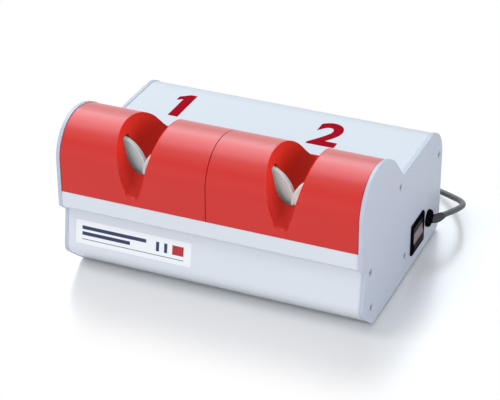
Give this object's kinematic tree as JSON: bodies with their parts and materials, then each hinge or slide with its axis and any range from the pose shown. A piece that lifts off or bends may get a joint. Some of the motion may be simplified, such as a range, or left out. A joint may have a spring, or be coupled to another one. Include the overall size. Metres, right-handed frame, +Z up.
{
  "type": "electric knife sharpener",
  "caption": "Table-top electric knife sharpener with a notch over crossed grinding wheels at each station, lift-off hoods, rocker switch and mains cord.",
  "frame": {"origin": "on the table, under the middle of the casing's bounding box without the cord", "axes": "+X to the end with the switch and the cord, +Y from the working front to the back, +Z up"},
  "size_m": [0.3886, 0.3813, 0.1958],
  "materials": {
    "front_sheet": "satin light grey paint",
    "cover_sheet": "satin white paint",
    "end_plate": "fine light blue-grey paint",
    "bare_steel": "plain rolled steel",
    "zinc": "zinc plated",
    "dark_screw": "dark plated steel",
    "rubber_feet": "matt black",
    "name_plate": "printed film",
    "hood_red": "semi-gloss red",
    "wheel_grit": "bonded fine grit",
    "gear_plastic": "natural nylon",
    "bearing_steel": "ground",
    "motor_alu": "die cast",
    "motor_core": "stacked sheet",
    "fan_plastic": "matt black",
    "black_plastic": "fine matt black",
    "rocker_plastic": "polished black",
    "cord_rubber": "dark grey sheath",
    "pin_metal": "nickel plated",
    "block_plastic": "cream moulding",
    "can_plastic": "light grey can",
    "lead_brown": "wire insulation"
  },
  "bodies": {
    "casing": {"base_plate": "zinc", "base_screws": "zinc", "capacitor_strap": "zinc", "cord_coil": "cord_rubber", "cord_gland": "black_plastic", "cord_plug": "black_plastic", "end_plate_screws": "dark_screw", "feet": "rubber_feet", "front_bearing_plate": "bare_steel", "front_panel": "front_sheet", "gear_bearings": "bearing_steel", "gland_nut": "black_plastic", "left_end_plate": "end_plate", "mains_leads": "lead_brown", "motor_bearings": "bearing_steel", "motor_bolts": "zinc", "motor_bracket": "zinc", "motor_capacitor": "can_plastic", "motor_front_cover": "motor_alu", "motor_housing": "motor_alu", "motor_rear_cover": "motor_alu", "motor_stator": "motor_core", "name_plate": "name_plate", "plate_pillars": "bare_steel", "plug_pins": "pin_metal", "power_cord": "cord_rubber", "rear_bearing_plate": "bare_steel", "rear_cover": "cover_sheet", "right_end_plate": "end_plate", "spindle_bearings": "bearing_steel", "swarf_trays": "zinc", "switch_bezel": "black_plastic", "switch_box": "black_plastic", "terminal_block": "block_plastic", "tie_rods": "bare_steel"},
    "left_hood": {"left_hood": "hood_red"},
    "right_hood": {"right_hood": "hood_red"},
    "rocker": {"rocker_switch": "rocker_plastic"},
    "motor_shaft": {"motor_rotor": "motor_core", "motor_gear": "bearing_steel", "motor_fan": "fan_plastic"},
    "left_outer_spindle": {"left_outer_spindle": "bearing_steel", "left_outer_wheel": "wheel_grit", "left_outer_nut": "zinc"},
    "left_outer_gear": {"left_outer_gear": "gear_plastic"},
    "left_inner_spindle": {"left_inner_spindle": "bearing_steel", "left_inner_wheel": "wheel_grit", "left_inner_nut": "zinc"},
    "left_inner_gear": {"left_inner_gear": "gear_plastic"},
    "right_inner_spindle": {"right_inner_spindle": "bearing_steel", "right_inner_wheel": "wheel_grit", "right_inner_nut": "zinc"},
    "right_inner_gear": {"right_inner_gear": "gear_plastic"},
    "right_outer_spindle": {"right_outer_spindle": "bearing_steel", "right_outer_wheel": "wheel_grit", "right_outer_nut": "zinc"},
    "right_outer_gear": {"right_outer_gear": "gear_plastic"}
  },
  "joints": [
    {"name": "motor_spin", "type": "hinge", "parent": "casing", "child": "motor_shaft", "pos_m": [0, 0.012, 0.08], "axis": [0, 1, 0], "continuous": true},
    {"name": "left_inner_gear_spin", "type": "hinge", "parent": "casing", "child": "left_inner_gear", "pos_m": [-0.05001, -0.078, 0.09], "axis": [0, 1, 0], "continuous": true},
    {"name": "left_inner_spindle_spin", "type": "hinge", "parent": "casing", "child": "left_inner_spindle", "pos_m": [-0.05001, -0.078, 0.14], "axis": [0, 1, 0], "continuous": true},
    {"name": "left_outer_gear_spin", "type": "hinge", "parent": "casing", "child": "left_outer_gear", "pos_m": [-0.12601, -0.078, 0.09], "axis": [0, 1, 0], "continuous": true},
    {"name": "left_outer_spindle_spin", "type": "hinge", "parent": "casing", "child": "left_outer_spindle", "pos_m": [-0.12601, -0.078, 0.14], "axis": [0, 1, 0], "continuous": true},
    {"name": "right_inner_gear_spin", "type": "hinge", "parent": "casing", "child": "right_inner_gear", "pos_m": [0.05001, -0.078, 0.09], "axis": [0, 1, 0], "continuous": true},
    {"name": "right_inner_spindle_spin", "type": "hinge", "parent": "casing", "child": "right_inner_spindle", "pos_m": [0.05001, -0.078, 0.14], "axis": [0, 1, 0], "continuous": true},
    {"name": "right_outer_gear_spin", "type": "hinge", "parent": "casing", "child": "right_outer_gear", "pos_m": [0.12601, -0.078, 0.09], "axis": [0, 1, 0], "continuous": true},
    {"name": "right_outer_spindle_spin", "type": "hinge", "parent": "casing", "child": "right_outer_spindle", "pos_m": [0.12601, -0.078, 0.14], "axis": [0, 1, 0], "continuous": true},
    {"name": "rocker_tilt", "type": "hinge", "parent": "casing", "child": "rocker", "pos_m": [0.1765, 0.051, 0.038], "axis": [0, 1, 0], "range_deg": [0, 12]},
    {"name": "left_hood_lift", "type": "slide", "parent": "casing", "child": "left_hood", "axis": [0, 0, 1], "range_m": [0, 0.12]},
    {"name": "right_hood_lift", "type": "slide", "parent": "casing", "child": "right_hood", "axis": [0, 0, 1], "range_m": [0, 0.12]}
  ],
  "couplings": [
    {"joint": "left_inner_gear_spin", "follows": "motor_spin", "ratio": -0.34211},
    {"joint": "left_outer_gear_spin", "follows": "motor_spin", "ratio": 0.34211},
    {"joint": "left_inner_spindle_spin", "follows": "motor_spin", "ratio": 1.0833},
    {"joint": "left_outer_spindle_spin", "follows": "motor_spin", "ratio": -1.0833},
    {"joint": "right_inner_gear_spin", "follows": "motor_spin", "ratio": -0.34211},
    {"joint": "right_outer_gear_spin", "follows": "motor_spin", "ratio": 0.34211},
    {"joint": "right_inner_spindle_spin", "follows": "motor_spin", "ratio": 1.0833},
    {"joint": "right_outer_spindle_spin", "follows": "motor_spin", "ratio": -1.0833}
  ]
}
